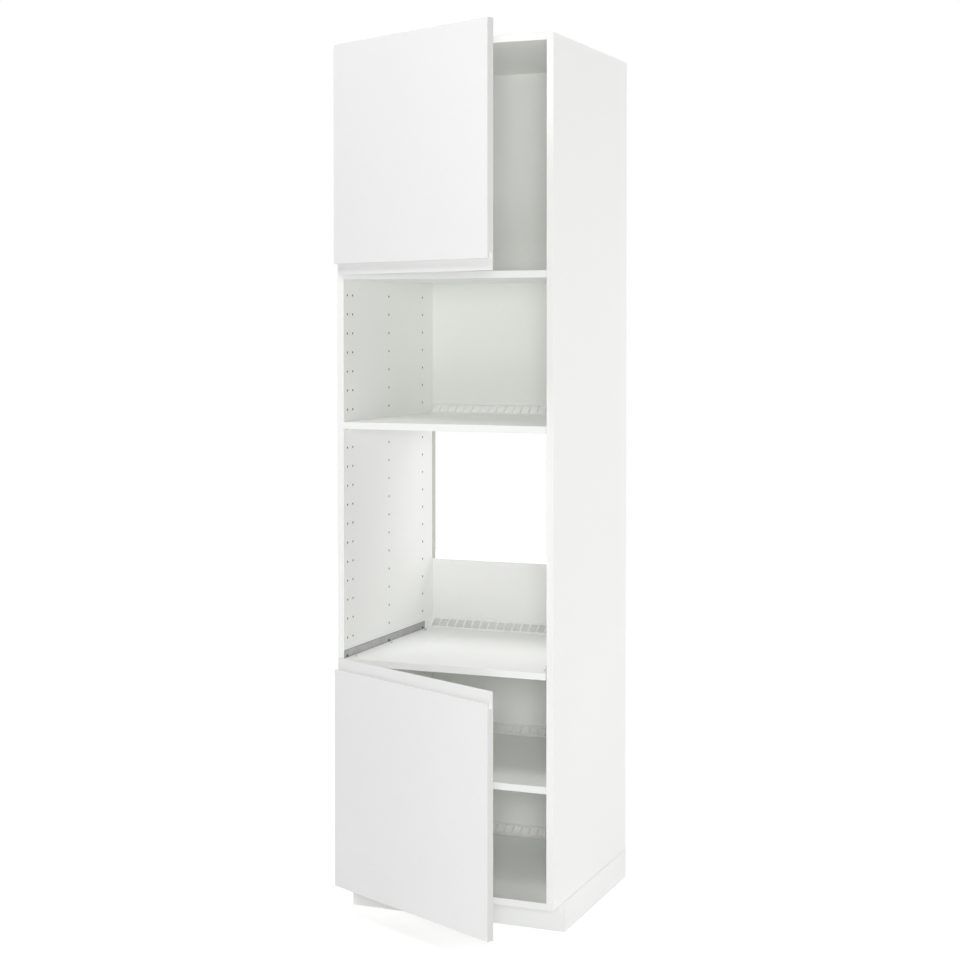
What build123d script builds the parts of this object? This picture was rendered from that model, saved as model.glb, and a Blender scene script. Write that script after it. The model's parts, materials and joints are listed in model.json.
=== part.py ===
from build123d import *
import os
from math import atan2, degrees, hypot

# Tall kitchen cabinet for a built-in oven and a microwave, with two doors hung on its left side.
# Millimetres. The origin is on the floor, under the centre of the carcass. Front is -Y, up is +Z.

# Carcass
WIDTH = 600.0
DEPTH = 600.0
BOARD = 18.0
LOWER_MODULE = 600.0
OVEN_MODULE = 600.0
MICROWAVE_MODULE = 400.0
UPPER_MODULE = 600.0
BASE_HEIGHT = 80.0
EDGE_ROUND = 0.8

# Shelves, measured from the module boundary that each one belongs to
OVEN_SHELF_DROP = 2.0
UPPER_SHELF_DROP = 10.0
LOWER_SHELF_HEIGHT = 288.0
LOWER_SHELF_SETBACK = 20.0
SIDE_PLAY = 0.3

# Back panels, in a groove of the side panels, with the vent shaft in front of them
BACK_THICKNESS = 3.0
BACK_ROOM = 22.0
VENT_DEPTH = 49.0
GROOVE_DEPTH = 8.0
GROOVE_PLAY = 0.1
LOWER_BACK_HEIGHT = 792.0
UPPER_BACK_LAP = 6.0

# Rows of holes in the side panels. Rear insets are measured from the rear edge of the shelves.
HOLE_RADIUS = 2.5
HOLE_DEPTH = 12.0
HOLE_FIRST = 48.8
HOLE_PITCH = 50.0
HOLE_FRONT_INSET = 22.0
HOLE_STEP = 32.0
HOLE_MIDDLE_INSET = 249.0
HOLE_REAR_INSET = 21.0

# Shelf pegs
PEG_PLAY = 0.05
PEG_REACH = 9.0
PEG_FLAT = 0.5
PEG_DROP = 4.0

# Panel dowels and cam discs
DOWEL_RADIUS = 4.0
DOWEL_PLAY = 0.05
DOWEL_IN_SIDE = 11.0
DOWEL_IN_PANEL = 18.0
DOWEL_FRONT_INSET = 100.0
DOWEL_REAR_INSET = 89.0
CAM_RADIUS = 7.5
CAM_PLAY = 0.1
CAM_HEIGHT = 12.0
CAM_INSET = 34.0
CAM_FRONT_INSET = 140.0
CAM_REAR_INSET = 129.0
CAM_SLOT = 2.0
CAM_SLOT_DEPTH = 3.0

# Vent grilles behind the shelves
GRILLE_RISE = 24.0
GRILLE_WALL = 2.0
GRILLE_FOOT = 10.0
GRILLE_LIP = 16.0
GRILLE_PLAY = 0.2
GRILLE_RAIL = 6.0
GRILLE_PITCH = 25.0
GRILLE_BAR = 4.5

# Steel rails that carry the oven shelf
RAIL_WALL = 1.2
RAIL_RISE = 20.0
RAIL_SEAT = 32.0
RAIL_FRONT = 1.0
RAIL_REAR_ROOM = 9.0
RAIL_SCREW_RISE = 4.0
RAIL_SCREW_STEP = 5.0
SHELF_SCREW_INSET = 17.0
SHELF_SCREW_FRONT = 37.0
SHELF_SCREW_STEP = 20.0

# Screws, as head and shank
SCREW_HEAD_RADIUS = 3.5
SCREW_HEAD = 1.8
SCREW_SHANK_RADIUS = 1.8
SCREW_PLAY = 0.05
SCREW_BITE = 11.0
SCREW_SLOT = 1.0
SCREW_SLOT_DEPTH = 0.8

# Doors
DOOR_THICKNESS = 19.0
DOOR_REVEAL = 1.5
DOOR_GAP = 2.0
DOOR_OPEN = 26.0
DOOR_ROUND = 1.2
GRIP_HEIGHT = 28.0
GRIP_DEPTH = 14.0
GRIP_BACK_WALL = 3.5
GRIP_FRONT_WALL = 5.0
GRIP_ROUND = 2.0
BUMPER_RADIUS = 4.0
BUMPER_THICKNESS = 1.4
BUMPER_END = 60.0

# Cup hinges. Plan positions are across and back from the inner front corner of the side panel for
# the arm and the bends of the links, and from the door's edge and back face for the cup.
HINGE_ROWS_FROM_END = 2
ARM_OUTER_ACROSS = 24.0
ARM_OUTER_BACK = 31.6
ARM_INNER_ACROSS = 23.5
ARM_INNER_BACK = 2.0
CUP_OUTER_ACROSS = 9.42
CUP_OUTER_BACK = -1.09
CUP_INNER_ACROSS = 14.23
CUP_INNER_BACK = -4.67
KNEE_ACROSS = 8.0
KNEE_BACK = 7.0
OUTER_BEND_ACROSS = 6.5
OUTER_BEND_BACK = -1.85
INNER_BEND_ACROSS = 14.2
INNER_BEND_BACK = -5.8
OUTER_LINK_RATIO = -0.24
OPEN_PIVOT_GAP = 3.4
LINK_WIDTH = 2.0
LINK_HALF_HEIGHT = 5.0
INNER_LINK_HALF_HEIGHT = 1.8
LINK_PLAY = 0.5
EYE_RADIUS = 2.1
PIN_RADIUS = 1.2
PIN_PLAY = 0.05
PIN_HOLD_PLAY = 0.02
CUP_RADIUS = 17.5
CUP_EDGE = 5.0
CUP_DEPTH = 12.0
CUP_WALL = 0.8
CUP_PLAY = 0.1
EAR_INNER = 6.0
EAR_WALL = 2.0
WING_THICKNESS = 1.2
WING_START = 8.0
WING_END = 31.0
WING_EDGE_INSET = 18.5
WING_WIDTH = 24.0
CUP_SCREW_SPREAD = 24.0
CUP_SCREW_OFFSET = 6.0
PLATE_THICKNESS = 4.0
PLATE_MARGIN = 9.0
PLATE_HALF_HEIGHT = 8.0
ARM_WALL = 1.6
ARM_PLAY = 0.6
ARM_LENGTH = 70.0
ARM_FOOT_FRONT = 14.0
ARM_NOSE = 1.9
ARM_WEB_FRONT = 8.0
ARM_CROWN = 3.2

# Legs and plinth
LEG_SIDE_INSET = 68.0
LEG_FRONT_INSET = 150.0
LEG_REAR_INSET = 105.0
SOCKET_PLATE = 60.0
SOCKET_PLATE_THICKNESS = 4.0
SOCKET_RADIUS = 16.0
SOCKET_LENGTH = 36.0
SPIGOT_RADIUS = 5.0
SPIGOT_LENGTH = 10.0
SPIGOT_PLAY = 0.1
SHAFT_RADIUS = 12.0
SHAFT_PLAY = 0.2
SHAFT_TOP_ROOM = 13.0
FOOT_RADIUS = 27.0
FOOT_THICKNESS = 8.0
FOOT_ROUND = 2.0
PLINTH_THICKNESS = 16.0
PLINTH_SETBACK = 89.0
PLINTH_FLOOR_GAP = 1.0
PLINTH_TOP_GAP = 0.8
CLIP_WALL = 3.0
CLIP_HEIGHT = 12.0
CLIP_PLAY = 0.2
CLIP_BAR = 14.0

# Wall brackets in the space behind the upper back panel
BRACKET_WALL = 2.0
BRACKET_HEIGHT = 60.0
BRACKET_WIDTH = 45.0
BRACKET_DROP = 60.0
BRACKET_HOLE_RADIUS = 4.0
BRACKET_SCREW_SPREAD = 20.0
ACCESS_HOLE_RADIUS = 9.0

# Levels and planes worked out from the sizes above
HEIGHT = LOWER_MODULE + OVEN_MODULE + MICROWAVE_MODULE + UPPER_MODULE
LEFT = -WIDTH / 2
RIGHT = WIDTH / 2
FRONT = -DEPTH / 2
BACK = DEPTH / 2
INNER = WIDTH / 2 - BOARD
FLOOR_Z = BASE_HEIGHT
TOP_Z = BASE_HEIGHT + HEIGHT
BACK_Y = BACK - BACK_ROOM
SHELF_Y = BACK_Y - VENT_DEPTH
SHELF_DEPTH = SHELF_Y - FRONT
OVEN_SHELF_TOP = FLOOR_Z + LOWER_MODULE - OVEN_SHELF_DROP
UPPER_SHELF_BOTTOM = TOP_Z - UPPER_MODULE - UPPER_SHELF_DROP
LOWER_SHELF_BOTTOM = FLOOR_Z + LOWER_SHELF_HEIGHT
HOLE_COUNT = int((HEIGHT - HOLE_FIRST) / HOLE_PITCH) + 1
HOLE_COLUMNS = (
    HOLE_FRONT_INSET,
    HOLE_FRONT_INSET + HOLE_STEP,
    SHELF_DEPTH - HOLE_MIDDLE_INSET,
    SHELF_DEPTH - HOLE_REAR_INSET,
)
DOWEL_COLUMNS = (DOWEL_FRONT_INSET, SHELF_DEPTH - DOWEL_REAR_INSET)
CAM_COLUMNS = (CAM_FRONT_INSET, SHELF_DEPTH - CAM_REAR_INSET)
SHELF_SCREW_COLUMNS = (
    SHELF_SCREW_FRONT,
    HOLE_COLUMNS[2] - SHELF_SCREW_STEP,
    HOLE_COLUMNS[3] - SHELF_SCREW_STEP,
)


def row(index):
    """Height of a row of side panel holes."""
    return FLOOR_Z + HOLE_FIRST + index * HOLE_PITCH


def nearest_row(level):
    """Number of the hole row nearest to a height above the carcass floor."""
    return round((level - HOLE_FIRST) / HOLE_PITCH)


MICROWAVE_ROW = nearest_row(LOWER_MODULE + OVEN_MODULE)
MICROWAVE_SHELF_BOTTOM = row(MICROWAVE_ROW) + PEG_FLAT
LOWER_PEG_Z = LOWER_SHELF_BOTTOM - PEG_FLAT
LOWER_DOOR_ROWS = (
    nearest_row(0) + HINGE_ROWS_FROM_END,
    nearest_row(LOWER_MODULE) - HINGE_ROWS_FROM_END,
)
UPPER_DOOR_ROWS = (
    nearest_row(HEIGHT - UPPER_MODULE) + HINGE_ROWS_FROM_END,
    nearest_row(HEIGHT) - HINGE_ROWS_FROM_END,
)


def block(x, y, z):
    """Box between the given limits along X, Y and Z."""
    centre = Pos((x[0] + x[1]) / 2, (y[0] + y[1]) / 2, (z[0] + z[1]) / 2)
    return centre * Box(x[1] - x[0], y[1] - y[0], z[1] - z[0])


def rod_x(x, y, z, radius):
    """Round bar along X between two limits."""
    return Pos((x[0] + x[1]) / 2, y, z) * Rot(0, 90, 0) * Cylinder(radius, x[1] - x[0])


def rod_y(x, y, z, radius):
    """Round bar along Y between two limits."""
    return Pos(x, (y[0] + y[1]) / 2, z) * Rot(90, 0, 0) * Cylinder(radius, y[1] - y[0])


def rod_z(x, y, z, radius):
    """Round bar along Z between two limits."""
    return Pos(x, y, (z[0] + z[1]) / 2) * Cylinder(radius, z[1] - z[0])


def screw(bite):
    """Screw that points down -Z, with its head seated on z = 0."""
    head = rod_z(0, 0, (0, SCREW_HEAD), SCREW_HEAD_RADIUS)
    shank = rod_z(0, 0, (-bite, 0), SCREW_SHANK_RADIUS)
    arm = (-SCREW_HEAD_RADIUS / 2, SCREW_HEAD_RADIUS / 2)
    slot = (-SCREW_SLOT / 2, SCREW_SLOT / 2)
    sunk = (SCREW_HEAD - SCREW_SLOT_DEPTH, SCREW_HEAD)
    return head + shank - block(arm, slot, sunk) - block(slot, arm, sunk)


def turned(shape, toward):
    """Turn a shape that points down -Z so that it points along the named direction."""
    turns = {"-X": Rot(0, 90, 0), "-Y": Rot(-90, 0, 0)}
    return turns[toward] * shape


def both(x):
    """The pair of X limits and its mirror image on the other side."""
    return (x, (-x[1], -x[0]))


def mirrored(shape):
    """Mirror image on the other side of the cabinet."""
    return shape.mirror(Plane.YZ)


def save(name, *solids):
    """Write one node, as one solid or as a group of separate solids."""
    shape = solids[0] if len(solids) == 1 else Compound(children=list(solids))
    export_step(shape, f"parts/{name}.step")


# Plan of a hinge, in the door's closed place

HINGE_X = LEFT + BOARD
DOOR_EDGE = LEFT + DOOR_REVEAL
DOOR_WIDTH = WIDTH - 2 * DOOR_REVEAL
DOOR_BACK = FRONT - DOOR_GAP
DOOR_FRONT = DOOR_BACK - DOOR_THICKNESS
CUP_X = DOOR_EDGE + CUP_EDGE + CUP_RADIUS


def from_panel(across, back):
    """Plan point given from the inner front corner of the side panel."""
    return Vector(HINGE_X + across, FRONT + back)


def from_door(across, back):
    """Plan point given from the door's hinge edge and back face."""
    return Vector(DOOR_EDGE + across, DOOR_BACK + back)


PIVOT_A = from_panel(ARM_OUTER_ACROSS, ARM_OUTER_BACK)
PIVOT_C = from_panel(ARM_INNER_ACROSS, ARM_INNER_BACK)
PIVOT_B = from_door(CUP_OUTER_ACROSS, CUP_OUTER_BACK)
PIVOT_D = from_door(CUP_INNER_ACROSS, CUP_INNER_BACK)
LINK_TURN = -DOOR_OPEN * OUTER_LINK_RATIO
DOOR_TURN = -DOOR_OPEN * (1 - OUTER_LINK_RATIO)


def follow_link(shape):
    """Turn a shape with the outer links, from closed to the pose that is modelled."""
    return shape.rotate(Axis(PIVOT_A, (0, 0, 1)), LINK_TURN)


def follow_door(shape):
    """Carry a shape with the door, from closed to the pose that is modelled."""
    return follow_link(shape.rotate(Axis(PIVOT_B, (0, 0, 1)), DOOR_TURN))


PIVOT_D_OPEN = follow_door(Vertex(PIVOT_D.X, PIVOT_D.Y, 0)).center()


def bar(start, end):
    """Plan of a straight stretch of link with round ends."""
    run = end - start
    middle = (start + end) / 2
    turn = degrees(atan2(run.Y, run.X))
    return Pos(middle.X, middle.Y) * Rot(0, 0, turn) * SlotCenterToCenter(run.length, LINK_WIDTH)


def disc(centre, radius):
    """Plan of a round eye."""
    return Pos(centre.X, centre.Y) * Circle(radius)


def slice_of(plan, low, high):
    """Plan raised between two heights."""
    return Pos(0, 0, low) * extrude(plan, high - low)


def outer_link(z):
    """Forked link from the rear arm pivot to the cup pivot nearest the door's edge."""
    knee = from_panel(KNEE_ACROSS, KNEE_BACK)
    bend = from_panel(OUTER_BEND_ACROSS, OUTER_BEND_BACK)
    plan = bar(PIVOT_A, knee) + bar(knee, bend) + bar(bend, PIVOT_B)
    plan += disc(PIVOT_A, EYE_RADIUS) + disc(PIVOT_B, EYE_RADIUS)
    bridge = bar(PIVOT_A, (PIVOT_A + knee) / 2) + disc(PIVOT_A, EYE_RADIUS)
    fork = INNER_LINK_HALF_HEIGHT + LINK_PLAY
    link = slice_of(bridge, z - LINK_HALF_HEIGHT, z + LINK_HALF_HEIGHT)
    link += slice_of(plan, z - LINK_HALF_HEIGHT, z - fork)
    link += slice_of(plan, z + fork, z + LINK_HALF_HEIGHT)
    for pivot in (PIVOT_A, PIVOT_B):
        link -= rod_z(pivot.X, pivot.Y, (z - LINK_HALF_HEIGHT, z + LINK_HALF_HEIGHT), PIN_RADIUS + PIN_PLAY)
    return follow_link(link)


def inner_link(z):
    """Link from the front arm pivot that stops short of its cup pin, where the linkage is open."""
    bend = from_panel(INNER_BEND_ACROSS, INNER_BEND_BACK)
    run = PIVOT_D_OPEN - bend
    stop = bend + run * ((run.length - OPEN_PIVOT_GAP - LINK_WIDTH / 2) / run.length)
    plan = bar(PIVOT_C, bend) + bar(bend, stop)
    link = slice_of(plan, z - INNER_LINK_HALF_HEIGHT, z + INNER_LINK_HALF_HEIGHT)
    link += slice_of(disc(PIVOT_C, EYE_RADIUS), z - LINK_HALF_HEIGHT, z + LINK_HALF_HEIGHT)
    return link - rod_z(PIVOT_C.X, PIVOT_C.Y, (z - LINK_HALF_HEIGHT, z + LINK_HALF_HEIGHT),
                        PIN_RADIUS + PIN_PLAY)


def hinge_cup(z):
    """Drawn cup with two ears for its pins and two wings for its screws."""
    outer = CUP_RADIUS - CUP_PLAY
    inner = outer - CUP_WALL
    floor = DOOR_BACK - CUP_DEPTH
    shell = rod_y(CUP_X, (floor, DOOR_BACK), z, outer)
    hollow = rod_y(CUP_X, (floor + CUP_WALL, DOOR_BACK + WING_THICKNESS), z, inner)
    wing_x = (DOOR_EDGE + WING_EDGE_INSET, DOOR_EDGE + WING_EDGE_INSET + WING_WIDTH)
    wing_y = (DOOR_BACK, DOOR_BACK + WING_THICKNESS)
    cup = shell
    for side in (-1, 1):
        wing_z = sorted((z + side * WING_START, z + side * WING_END))
        cup += block(wing_x, wing_y, wing_z)
    cup -= hollow
    core = rod_y(CUP_X, (floor, DOOR_BACK), z, inner)
    ear_x = (CUP_X - CUP_RADIUS, PIVOT_D.X + 2 * PIN_RADIUS)
    for side in (-1, 1):
        ear_z = sorted((z + side * EAR_INNER, z + side * (EAR_INNER + EAR_WALL)))
        cup += block(ear_x, (floor, DOOR_BACK), ear_z) & core
    pin_z = (z - EAR_INNER - EAR_WALL, z + EAR_INNER + EAR_WALL)
    for pivot in (PIVOT_B, PIVOT_D):
        cup -= rod_z(pivot.X, pivot.Y, pin_z, PIN_RADIUS + PIN_HOLD_PLAY)
    for side in (-1, 1):
        cup -= rod_y(CUP_X + CUP_SCREW_OFFSET, wing_y, z + side * CUP_SCREW_SPREAD,
                     SCREW_SHANK_RADIUS + SCREW_PLAY)
    return follow_door(cup)


def cup_pins(z):
    """The two pins held in the ears of a cup."""
    pin_z = (z - EAR_INNER - EAR_WALL, z + EAR_INNER + EAR_WALL)
    return [follow_door(rod_z(p.X, p.Y, pin_z, PIN_RADIUS)) for p in (PIVOT_B, PIVOT_D)]


def cup_screws(z):
    """The two screws that hold a cup to the back of its door."""
    solids = []
    for side in (-1, 1):
        place = Pos(CUP_X + CUP_SCREW_OFFSET, DOOR_BACK + WING_THICKNESS, z + side * CUP_SCREW_SPREAD)
        solids.append(follow_door(place * turned(screw(SCREW_BITE), "-Y")))
    return solids


ARM_INNER = LINK_HALF_HEIGHT + ARM_PLAY
ARM_OUTER = ARM_INNER + ARM_WALL


def hinge_arm(z):
    """Channel on the side panel: two cheeks with the arm pins between them, and a web."""
    crown = PIVOT_A.X + ARM_CROWN
    nose = PIVOT_C.Y - ARM_NOSE
    foot = HINGE_X + PLATE_THICKNESS
    outline = [
        (foot, FRONT + ARM_FOOT_FRONT),
        (PIVOT_C.X - EYE_RADIUS - ARM_WALL, nose),
        (crown, nose),
        (crown, FRONT + ARM_LENGTH),
        (foot, FRONT + ARM_LENGTH),
    ]
    cheek = make_face(Polyline(*outline, close=True))
    web = block((crown, crown + ARM_WALL), (FRONT + ARM_WEB_FRONT, FRONT + ARM_LENGTH),
                (z - ARM_OUTER, z + ARM_OUTER))
    arm = web
    for low in (z - ARM_OUTER, z + ARM_INNER):
        arm += Pos(0, 0, low) * extrude(cheek, ARM_WALL)
    for pivot in (PIVOT_A, PIVOT_C):
        arm -= rod_z(pivot.X, pivot.Y, (z - ARM_OUTER, z + ARM_OUTER), PIN_RADIUS + PIN_HOLD_PLAY)
    return arm


def arm_pins(z):
    """The two pins held in the cheeks of an arm."""
    return [rod_z(p.X, p.Y, (z - ARM_OUTER, z + ARM_OUTER), PIN_RADIUS) for p in (PIVOT_A, PIVOT_C)]


PLATE_COLUMNS = HOLE_COLUMNS[:2]


def hinge_plate(z):
    """Plate between the side panel and a hinge arm."""
    plate = block((HINGE_X, HINGE_X + PLATE_THICKNESS),
                  (FRONT + PLATE_COLUMNS[0] - PLATE_MARGIN, FRONT + PLATE_COLUMNS[1] + PLATE_MARGIN),
                  (z - PLATE_HALF_HEIGHT, z + PLATE_HALF_HEIGHT))
    for column in PLATE_COLUMNS:
        plate -= rod_x((HINGE_X, HINGE_X + PLATE_THICKNESS), FRONT + column, z,
                       SCREW_SHANK_RADIUS + SCREW_PLAY)
    return plate


def plate_screws(z):
    """The two screws of a hinge plate, in the front pair of holes of its row."""
    place = HINGE_X + PLATE_THICKNESS
    one = turned(screw(SCREW_BITE + PLATE_THICKNESS), "-X")
    return [Pos(place, FRONT + column, z) * one for column in PLATE_COLUMNS]


# Doors

def door(bottom, height, grip_at_top, levels):
    """Slab with a finger groove behind its front face along one edge, at the modelled pose."""
    top = bottom + height
    end = top if grip_at_top else bottom
    inward = -1 if grip_at_top else 1
    far = bottom if grip_at_top else top
    brim = end + inward * GRIP_HEIGHT
    groove = brim + inward * GRIP_DEPTH
    outline = [
        (DOOR_BACK, far),
        (DOOR_BACK, end),
        (DOOR_BACK - GRIP_BACK_WALL, end),
        (DOOR_BACK - GRIP_BACK_WALL, groove),
        (DOOR_FRONT + GRIP_FRONT_WALL, groove),
        (DOOR_FRONT + GRIP_FRONT_WALL, brim),
        (DOOR_FRONT, brim),
        (DOOR_FRONT, far),
    ]
    profile = make_face(Polyline(*[(0, y, z) for y, z in outline], close=True))
    slab = Pos(DOOR_EDGE, 0, 0) * extrude(profile, DOOR_WIDTH, dir=(1, 0, 0))
    along = slab.edges().filter_by(Axis.X)
    sunk = [e for e in along if abs(e.center().Z - groove) < GRIP_ROUND]
    slab = fillet(sunk, GRIP_ROUND)
    face = slab.faces().filter_by(Axis.Y).sort_by(Axis.Y)[0]
    slab = fillet(face.edges(), DOOR_ROUND)
    for z in levels:
        slab -= rod_y(CUP_X, (DOOR_BACK - CUP_DEPTH, DOOR_BACK), z, CUP_RADIUS)
        for side in (-1, 1):
            hole_y = (DOOR_BACK - SCREW_BITE + WING_THICKNESS, DOOR_BACK)
            slab -= rod_y(CUP_X + CUP_SCREW_OFFSET, hole_y, z + side * CUP_SCREW_SPREAD,
                          SCREW_SHANK_RADIUS + SCREW_PLAY)
    return follow_door(slab)


def bumpers(bottom, height):
    """Two soft dots near the free edge, on the back of a door."""
    x = DOOR_EDGE + DOOR_WIDTH - BOARD / 2 + DOOR_REVEAL
    dot_y = (DOOR_BACK, DOOR_BACK + BUMPER_THICKNESS)
    levels = (bottom + BUMPER_END, bottom + height - BUMPER_END)
    return [follow_door(rod_y(x, dot_y, z, BUMPER_RADIUS)) for z in levels]


# Carcass

LEG_PLACES = {
    "front_left": (LEFT + LEG_SIDE_INSET, FRONT + LEG_FRONT_INSET),
    "front_right": (RIGHT - LEG_SIDE_INSET, FRONT + LEG_FRONT_INSET),
    "rear_left": (LEFT + LEG_SIDE_INSET, BACK - LEG_REAR_INSET),
    "rear_right": (RIGHT - LEG_SIDE_INSET, BACK - LEG_REAR_INSET),
}
BOTTOM_Z = (FLOOR_Z, FLOOR_Z + BOARD)
TOP_PANEL_Z = (TOP_Z - BOARD, TOP_Z)
UPPER_SHELF_Z = (UPPER_SHELF_BOTTOM, UPPER_SHELF_BOTTOM + BOARD)
OVEN_SHELF_Z = (OVEN_SHELF_TOP - BOARD, OVEN_SHELF_TOP)
MICROWAVE_SHELF_Z = (MICROWAVE_SHELF_BOTTOM, MICROWAVE_SHELF_BOTTOM + BOARD)
LOWER_SHELF_Z = (LOWER_SHELF_BOTTOM, LOWER_SHELF_BOTTOM + BOARD)
FIXED_PANELS = (BOTTOM_Z, UPPER_SHELF_Z, TOP_PANEL_Z)
RAIL_Z = (OVEN_SHELF_Z[0] - RAIL_WALL, OVEN_SHELF_TOP + RAIL_RISE)
RAIL_SCREW_Z = OVEN_SHELF_TOP + RAIL_SCREW_RISE
RAIL_COLUMNS = (
    HOLE_COLUMNS[0] - RAIL_SCREW_STEP,
    HOLE_COLUMNS[2] - RAIL_SCREW_STEP,
    HOLE_COLUMNS[3] - RAIL_SCREW_STEP,
)
PEG_COLUMNS = (HOLE_COLUMNS[1], HOLE_COLUMNS[3])
BRACKET_Z = TOP_PANEL_Z[0] - BRACKET_DROP
BRACKET_Y = BACK_Y + BACK_THICKNESS + BRACKET_WALL


def middle(limits):
    """Middle of a pair of limits."""
    return (limits[0] + limits[1]) / 2


def row_is_free(z):
    """True where a row of holes is clear of the boards and rails that meet the side panels."""
    taken = (BOTTOM_Z, UPPER_SHELF_Z, TOP_PANEL_Z, RAIL_Z)
    return all(z < low - HOLE_RADIUS or z > high + HOLE_RADIUS for low, high in taken)


def side_panel():
    """Left side panel with its back groove, rows of holes, dowel holes and fixing holes."""
    panel = block((LEFT, LEFT + BOARD), (FRONT, BACK), (FLOOR_Z, TOP_Z))
    front_edges = panel.edges().filter_by(Axis.Z).group_by(Axis.Y)[0]
    panel = fillet(front_edges, EDGE_ROUND)
    groove_y = (BACK_Y - GROOVE_PLAY, BACK_Y + BACK_THICKNESS + GROOVE_PLAY)
    cuts = [block((HINGE_X - GROOVE_DEPTH, HINGE_X), groove_y, (FLOOR_Z, TOP_Z))]
    rows = [row(i) for i in range(HOLE_COUNT) if row_is_free(row(i))]
    drill_x = (HINGE_X - HOLE_DEPTH, HINGE_X)
    for z in rows:
        cuts += [rod_x(drill_x, FRONT + column, z, HOLE_RADIUS) for column in HOLE_COLUMNS]
    cuts += [rod_x(drill_x, FRONT + column, LOWER_PEG_Z, HOLE_RADIUS) for column in PEG_COLUMNS]
    screw_x = (HINGE_X - SCREW_BITE, HINGE_X)
    fixing = SCREW_SHANK_RADIUS + SCREW_PLAY
    cuts += [rod_x(screw_x, FRONT + column, RAIL_SCREW_Z, fixing) for column in RAIL_COLUMNS]
    for limits in FIXED_PANELS:
        for column in DOWEL_COLUMNS:
            cuts.append(rod_x((HINGE_X - DOWEL_IN_SIDE, HINGE_X), FRONT + column, middle(limits),
                              DOWEL_RADIUS + DOWEL_PLAY))
    for side in (-1, 1):
        cuts.append(rod_x(screw_x, (BRACKET_Y + BACK) / 2, BRACKET_Z + side * BRACKET_SCREW_SPREAD, fixing))
    return panel - cuts


def fixed_panel(z, rear, cam_from_top):
    """Board dowelled between the side panels, with cam discs let into one face."""
    board = block((-INNER, INNER), (FRONT, rear), z)
    cuts = []
    for column in DOWEL_COLUMNS:
        for x in both((-INNER, -INNER + DOWEL_IN_PANEL)):
            cuts.append(rod_x(x, FRONT + column, middle(z), DOWEL_RADIUS + DOWEL_PLAY))
    for column in CAM_COLUMNS:
        for side in (-1, 1):
            cuts.append(cam_place(z, side, column, cam_from_top) * Pos(0, 0, -CAM_HEIGHT / 2)
                        * Cylinder(CAM_RADIUS + CAM_PLAY, CAM_HEIGHT))
    return board - cuts


def cam_place(z, side, column, from_top):
    """Place of a cam disc, with +Z out of the face that it is let into."""
    x = side * (INNER - CAM_INSET)
    face = z[1] if from_top else z[0]
    return Pos(x, FRONT + column, face) * Rot(0 if from_top else 180, 0, 0)


def cam_discs():
    """Cam discs of the three fixed panels, each with a cross slot."""
    half = (-CAM_RADIUS / 2, CAM_RADIUS / 2)
    slot = (-CAM_SLOT / 2, CAM_SLOT / 2)
    sunk = (-CAM_SLOT_DEPTH, 0)
    disc_solid = rod_z(0, 0, (-CAM_HEIGHT, 0), CAM_RADIUS)
    disc_solid -= block(half, slot, sunk) + block(slot, half, sunk)
    solids = []
    for z, from_top in ((BOTTOM_Z, False), (UPPER_SHELF_Z, True), (TOP_PANEL_Z, True)):
        for column in CAM_COLUMNS:
            solids += [cam_place(z, side, column, from_top) * disc_solid for side in (-1, 1)]
    return solids


def dowels():
    """Wooden dowels between the side panels and the fixed panels."""
    solids = []
    for limits in FIXED_PANELS:
        for column in DOWEL_COLUMNS:
            for x in both((-INNER - DOWEL_IN_SIDE, -INNER + DOWEL_IN_PANEL)):
                solids.append(rod_x(x, FRONT + column, middle(limits), DOWEL_RADIUS))
    return solids


def loose_shelf(z, front):
    """Board that rests on pegs."""
    reach = INNER - SIDE_PLAY
    board = block((-reach, reach), (front, SHELF_Y), z)
    return fillet(board.edges().filter_by(Axis.X).group_by(Axis.Y)[0], EDGE_ROUND)


def oven_shelf():
    """Board that stands on the rails, with holes for its screws."""
    reach = INNER - RAIL_WALL - SIDE_PLAY
    board = block((-reach, reach), (FRONT, SHELF_Y), OVEN_SHELF_Z)
    board = fillet(board.edges().filter_by(Axis.X).group_by(Axis.Y)[0], EDGE_ROUND)
    radius = SCREW_SHANK_RADIUS + SCREW_PLAY
    for column in SHELF_SCREW_COLUMNS:
        for side in (-1, 1):
            board -= rod_z(side * (INNER - SHELF_SCREW_INSET), FRONT + column, OVEN_SHELF_Z, radius)
    return board


def oven_rail():
    """Left angle rail: a flange on the side panel and a seat under the shelf."""
    rail_y = (FRONT + RAIL_FRONT, SHELF_Y - RAIL_REAR_ROOM)
    rail = block((-INNER, -INNER + RAIL_WALL), rail_y, RAIL_Z)
    rail += block((-INNER, -INNER + RAIL_SEAT), rail_y, (RAIL_Z[0], OVEN_SHELF_Z[0]))
    radius = SCREW_SHANK_RADIUS + SCREW_PLAY
    for column in RAIL_COLUMNS:
        rail -= rod_x((-INNER, -INNER + RAIL_WALL), FRONT + column, RAIL_SCREW_Z, radius)
    for column in SHELF_SCREW_COLUMNS:
        rail -= rod_z(-INNER + SHELF_SCREW_INSET, FRONT + column, (RAIL_Z[0], OVEN_SHELF_Z[0]), radius)
    return rail


def rail_screws():
    """Screws of both rails, into the side panels."""
    one = turned(screw(SCREW_BITE + RAIL_WALL), "-X")
    left = [Pos(-INNER + RAIL_WALL, FRONT + column, RAIL_SCREW_Z) * one for column in RAIL_COLUMNS]
    return left + [mirrored(solid) for solid in left]


def shelf_screws():
    """Screws down through the oven shelf into the seats of the rails."""
    one = screw(BOARD + RAIL_WALL)
    solids = []
    for column in SHELF_SCREW_COLUMNS:
        for side in (-1, 1):
            solids.append(Pos(side * (INNER - SHELF_SCREW_INSET), FRONT + column, OVEN_SHELF_TOP) * one)
    return solids


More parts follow.
